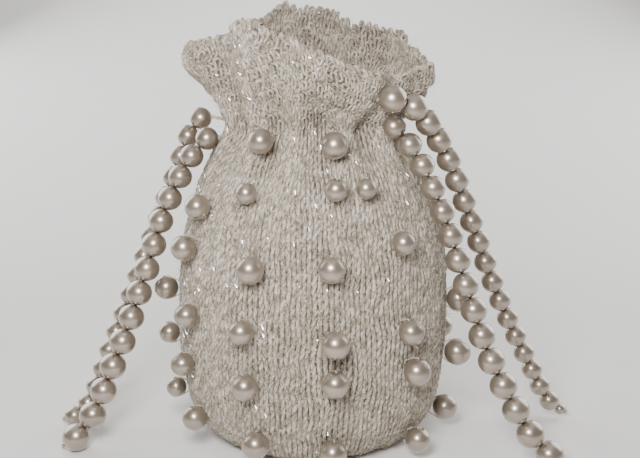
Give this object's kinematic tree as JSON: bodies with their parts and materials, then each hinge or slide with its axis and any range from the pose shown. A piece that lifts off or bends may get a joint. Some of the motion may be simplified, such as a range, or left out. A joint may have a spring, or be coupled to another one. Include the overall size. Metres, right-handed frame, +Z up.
{
  "type": "knitted drawstring pouch",
  "caption": "Knitted drawstring pouch purse with a round belly, gathered neck and ruffled mouth, sewn with faux pearls and closed by drawstrings of strung pearls that splay to the floor.",
  "frame": {"origin": "middle of the flat base, on the surface that the bag stands on", "axes": "+Z up; the front of the bag faces -Y; +X to the right as seen from the front"},
  "size_m": [0.2138, 0.1246, 0.176],
  "materials": {
    "knit": "hand-knitted cream yarn with a fine metallic thread, stocking stitch with a bumpy ruffle",
    "pearl": "moulded plastic pearls with a nacre lacquer",
    "thread": "plain twisted cream thread"
  },
  "bodies": {
    "root": {"knit_pouch": "knit", "pearl_front_left_1": "pearl", "pearl_front_left_2": "pearl", "pearl_front_left_3": "pearl", "pearl_front_left_4": "pearl", "pearl_front_left_5": "pearl", "pearl_front_left_6": "pearl", "pearl_front_1": "pearl", "pearl_front_2": "pearl", "pearl_front_3": "pearl", "pearl_front_4": "pearl", "pearl_front_5": "pearl", "pearl_front_6": "pearl", "pearl_front_right_1": "pearl", "pearl_right_front_1": "pearl", "pearl_right_front_2": "pearl", "pearl_right_front_3": "pearl", "pearl_right_front_4": "pearl", "pearl_right_1": "pearl", "pearl_right_2": "pearl", "pearl_right_3": "pearl", "pearl_right_back_1": "pearl", "pearl_right_back_2": "pearl", "pearl_back_right_1": "pearl", "pearl_back_right_2": "pearl", "pearl_back_right_3": "pearl", "pearl_back_1": "pearl", "pearl_back_2": "pearl", "pearl_back_left_1": "pearl", "pearl_back_left_2": "pearl", "pearl_back_left_3": "pearl", "pearl_left_back_1": "pearl", "pearl_left_back_2": "pearl", "pearl_left_1": "pearl", "pearl_left_2": "pearl", "pearl_left_3": "pearl", "pearl_left_front_1": "pearl", "pearl_left_front_2": "pearl", "pearl_left_front_3": "pearl", "pearl_left_front_4": "pearl", "pearl_left_front_5": "pearl", "strand_left_front": "pearl", "strand_left_back": "pearl", "strand_right_front": "pearl", "strand_right_back": "pearl", "neck_thread_left": "thread", "neck_thread_right": "thread"}
  },
  "joints": []
}
